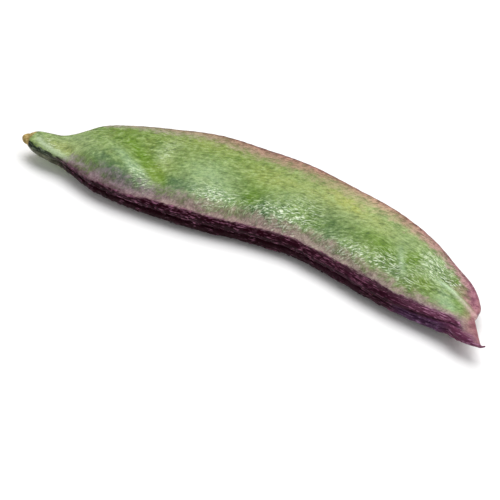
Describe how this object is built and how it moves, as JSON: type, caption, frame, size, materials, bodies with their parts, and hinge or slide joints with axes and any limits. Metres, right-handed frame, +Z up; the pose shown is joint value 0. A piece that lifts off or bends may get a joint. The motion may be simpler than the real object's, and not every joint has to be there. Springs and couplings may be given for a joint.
{
  "type": "hyacinth bean",
  "caption": "whole fresh hyacinth bean pod lying on its side: flat green hull swollen over its seeds, warty purple double-ridged seam, thin back edge and a small hooked beak",
  "frame": {"origin": "centre of the bounding box in plan, at the level of the surface that the pod lies on", "axes": "+X runs along the pod from the stalk end to the beak, +Y from the seam to the thin back edge, +Z up through the pod's flat sides"},
  "size_m": [0.1196, 0.0324, 0.008],
  "materials": {
    "pod_skin": "satin green plant skin with a fine net of wrinkles, dark purple along the warty seam and reddish brown along the back edge; matte_plastic stands in for plant skin"
  },
  "bodies": {
    "root": {"pod": "pod_skin"}
  },
  "joints": []
}
